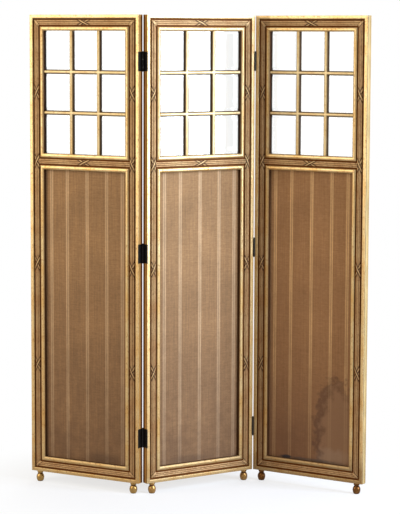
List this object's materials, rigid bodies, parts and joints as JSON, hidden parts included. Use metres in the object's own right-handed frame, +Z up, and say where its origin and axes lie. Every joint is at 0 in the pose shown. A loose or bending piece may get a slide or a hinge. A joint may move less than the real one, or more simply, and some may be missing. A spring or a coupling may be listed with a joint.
{
  "type": "folding screen",
  "caption": "Free-standing folding room screen: hinged gilded wooden frames with ribbon-tied reeding, bevelled glass lights above and striped fabric panels below.",
  "frame": {"origin": "on the floor at the middle of the zigzag, below the middle of the centre fold", "axes": "+Z up, +X to the right seen from the front, +Y away from the viewer, front faces -Y"},
  "size_m": [1.2065, 0.2807, 1.704],
  "materials": {
    "gilt_bright": "water gilding, burnished and rubbed at the edges",
    "gilt_worn": "worn gilding over brown bole in carved wood",
    "frame_wood": "gilded and toned face and edges, bare brown back",
    "dark_wood": "stained brown",
    "bare_wood": "bare planed softwood",
    "glass": "clear, polished, with a ground bevel",
    "striped_fabric": "brown woven cloth with paired paler stripes, aged",
    "lining_fabric": "plain brown lining cloth",
    "black_iron": "black japanned iron, rubbed at the knuckles",
    "screw_steel": "blackened steel"
  },
  "bodies": {
    "centre_panel": {"centre_stile_left": "frame_wood", "centre_stile_right": "frame_wood", "centre_top_rail": "frame_wood", "centre_mid_rail": "frame_wood", "centre_bottom_rail": "frame_wood", "centre_outer_band": "gilt_bright", "centre_reeding": "gilt_worn", "centre_upper_bead": "gilt_bright", "centre_lower_bead": "gilt_bright", "centre_glazing_bars": "gilt_bright", "centre_glass_panes": "glass", "centre_glazing_stops": "dark_wood", "centre_fabric": "striped_fabric", "centre_strainer": "bare_wood", "centre_lining": "lining_fabric", "centre_feet": "gilt_worn", "centre_ridge_leaves": "black_iron", "centre_ridge_screws": "screw_steel", "centre_ridge_pins": "screw_steel", "centre_valley_leaves": "black_iron", "centre_valley_screws": "screw_steel", "centre_valley_pins": "screw_steel"},
    "left_panel": {"left_stile_left": "frame_wood", "left_stile_right": "frame_wood", "left_top_rail": "frame_wood", "left_mid_rail": "frame_wood", "left_bottom_rail": "frame_wood", "left_outer_band": "gilt_bright", "left_reeding": "gilt_worn", "left_upper_bead": "gilt_bright", "left_lower_bead": "gilt_bright", "left_glazing_bars": "gilt_bright", "left_glass_panes": "glass", "left_glazing_stops": "dark_wood", "left_fabric": "striped_fabric", "left_strainer": "bare_wood", "left_lining": "lining_fabric", "left_feet": "gilt_worn", "left_hinge_leaves": "black_iron", "left_hinge_screws": "screw_steel"},
    "right_panel": {"right_stile_left": "frame_wood", "right_stile_right": "frame_wood", "right_top_rail": "frame_wood", "right_mid_rail": "frame_wood", "right_bottom_rail": "frame_wood", "right_outer_band": "gilt_bright", "right_reeding": "gilt_worn", "right_upper_bead": "gilt_bright", "right_lower_bead": "gilt_bright", "right_glazing_bars": "gilt_bright", "right_glass_panes": "glass", "right_glazing_stops": "dark_wood", "right_fabric": "striped_fabric", "right_strainer": "bare_wood", "right_lining": "lining_fabric", "right_feet": "gilt_worn", "right_hinge_leaves": "black_iron", "right_hinge_screws": "screw_steel"}
  },
  "joints": [
    {"name": "left_fold", "type": "hinge", "parent": "centre_panel", "child": "left_panel", "pos_m": [-0.19433, -0.10269, 0], "axis": [0, 0, 1], "range_deg": [-117, 63]},
    {"name": "right_fold", "type": "hinge", "parent": "centre_panel", "child": "right_panel", "pos_m": [0.20971, 0.11606, 0], "axis": [0, 0, 1], "range_deg": [-113, 67]}
  ]
}
